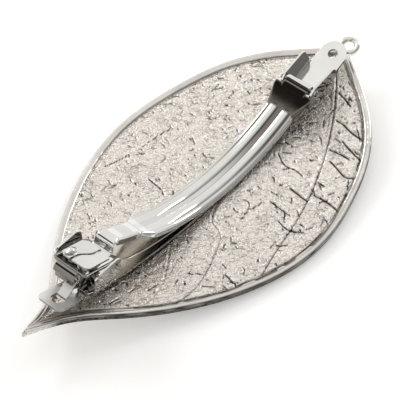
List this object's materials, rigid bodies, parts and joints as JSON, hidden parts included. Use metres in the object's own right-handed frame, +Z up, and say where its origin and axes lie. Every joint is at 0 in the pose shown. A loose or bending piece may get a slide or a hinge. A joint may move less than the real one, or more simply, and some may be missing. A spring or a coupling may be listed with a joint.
{
  "type": "alligator hair clip",
  "caption": "Leaf-shaped cast metal barrette, shown from its hollow back, with a sprung ribbed clip bar that latches over a pinch catch.",
  "frame": {"origin": "under the middle of the leaf, on the plane its domed front rests on", "axes": "+X from the leaf's pointed tip to the eye at its stem, +Y across the leaf, +Z up out of the hollow back, where the clip is"},
  "size_m": [0.0914, 0.0466, 0.0145],
  "materials": {
    "cast_leaf": "bright plating over a fine pebbled cast surface",
    "polished_rim": "bright plating over smooth cast metal",
    "clip_steel": "bright plated sheet steel",
    "spring_steel": "bright spring steel strip",
    "solder": "dull plated solder"
  },
  "bodies": {
    "barrette": {"leaf_blade": "cast_leaf", "leaf_rim": "polished_rim", "stem_eye": "polished_rim", "solder_pad": "solder", "base_strip": "clip_steel", "base_tongue": "clip_steel", "catch_seat": "clip_steel", "hinge_ear_near": "clip_steel", "hinge_ear_far": "clip_steel", "hinge_pin": "clip_steel"},
    "arm": {"arm_strip": "clip_steel", "arm_knuckle": "clip_steel", "arm_neck": "clip_steel", "arm_latch_frame": "clip_steel", "arm_front_lip": "clip_steel"},
    "bow": {"tension_bow": "spring_steel"},
    "finger_near": {"catch_hook_near": "clip_steel", "pinch_pad_near": "clip_steel"},
    "finger_far": {"catch_hook_far": "clip_steel", "pinch_pad_far": "clip_steel"}
  },
  "joints": [
    {"name": "arm_hinge", "type": "hinge", "parent": "barrette", "child": "arm", "pos_m": [0.02836, 0, 0.00873], "axis": [0, 1, 0], "range_deg": [0, 105]},
    {"name": "bow_lift", "type": "hinge", "parent": "barrette", "child": "bow", "pos_m": [0.0245, 0, 0.0058], "axis": [0, 1, 0], "range_deg": [0, 5]},
    {"name": "finger_near_pinch", "type": "hinge", "parent": "barrette", "child": "finger_near", "pos_m": [-0.0292, -0.0002, 0.00715], "axis": [-1, 0, 0], "range_deg": [0, 1.7], "stiffness_Nm_per_rad": 0.3},
    {"name": "finger_far_pinch", "type": "hinge", "parent": "barrette", "child": "finger_far", "pos_m": [-0.0292, 0.0002, 0.00715], "axis": [1, 0, 0], "range_deg": [0, 1.7], "stiffness_Nm_per_rad": 0.3}
  ],
  "couplings": [
    {"joint": "bow_lift", "follows": "arm_hinge", "ratio": 0.047}
  ]
}
